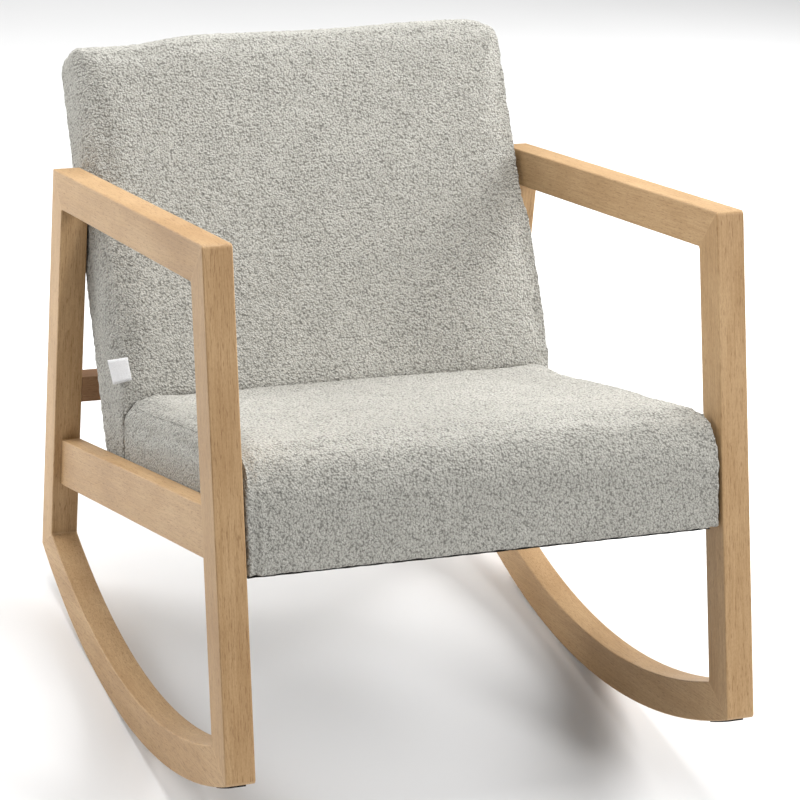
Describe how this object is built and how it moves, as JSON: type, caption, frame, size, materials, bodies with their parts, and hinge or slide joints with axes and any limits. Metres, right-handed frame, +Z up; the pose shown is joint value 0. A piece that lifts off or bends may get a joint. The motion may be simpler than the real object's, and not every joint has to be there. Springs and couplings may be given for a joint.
{
  "type": "rocking chair",
  "caption": "Upholstered rocking armchair: closed light timber side frames on curved rockers carry a boxed seat and a leaning back in curly grey-beige fabric.",
  "frame": {"origin": "middle of the chair's plan, on the floor, with the chair standing on its rockers", "axes": "-Y is the chair's front, +X points to the right as seen from the front, +Z up; the chair is tipped back as it balances when empty"},
  "size_m": [0.64, 0.8876, 0.7159],
  "materials": {
    "oak": "satin",
    "dowel_beech": "matte",
    "frame_pine": "matte",
    "zinc_steel": "satin",
    "webbing": "matte",
    "foam": "matte",
    "boucle": "matte",
    "black_lining": "matte",
    "black_rubber": "matte",
    "tag_white": "matte"
  },
  "bodies": {
    "root": {"armrest_left": "oak", "armrest_right": "oak", "front_leg_left": "oak", "front_leg_right": "oak", "rear_leg_left": "oak", "rear_leg_right": "oak", "rocker_left": "oak", "rocker_right": "oak", "seat_rail_left": "oak", "seat_rail_right": "oak", "rear_cross_rail": "oak", "corner_dowels": "dowel_beech", "seat_rail_dowels": "dowel_beech", "cross_rail_dowels": "dowel_beech", "cross_rail_studs": "zinc_steel", "cross_rail_barrel_nuts": "zinc_steel", "fixing_bolts": "zinc_steel", "fixing_washers": "zinc_steel", "threaded_inserts": "zinc_steel", "seat_board_left": "frame_pine", "seat_board_right": "frame_pine", "seat_board_front": "frame_pine", "seat_board_rear": "frame_pine", "seat_corner_blocks": "frame_pine", "back_post_left": "frame_pine", "back_post_right": "frame_pine", "back_rail_top": "frame_pine", "back_rail_middle": "frame_pine", "back_rail_bottom": "frame_pine", "seat_webbing_long": "webbing", "seat_webbing_across": "webbing", "back_webbing": "webbing", "seat_foam": "foam", "back_foam": "foam", "back_top_foam": "foam", "seat_cover": "boucle", "back_cover": "boucle", "seat_dust_cover": "black_lining", "rocker_pads": "black_rubber", "side_tag": "tag_white"}
  },
  "joints": []
}
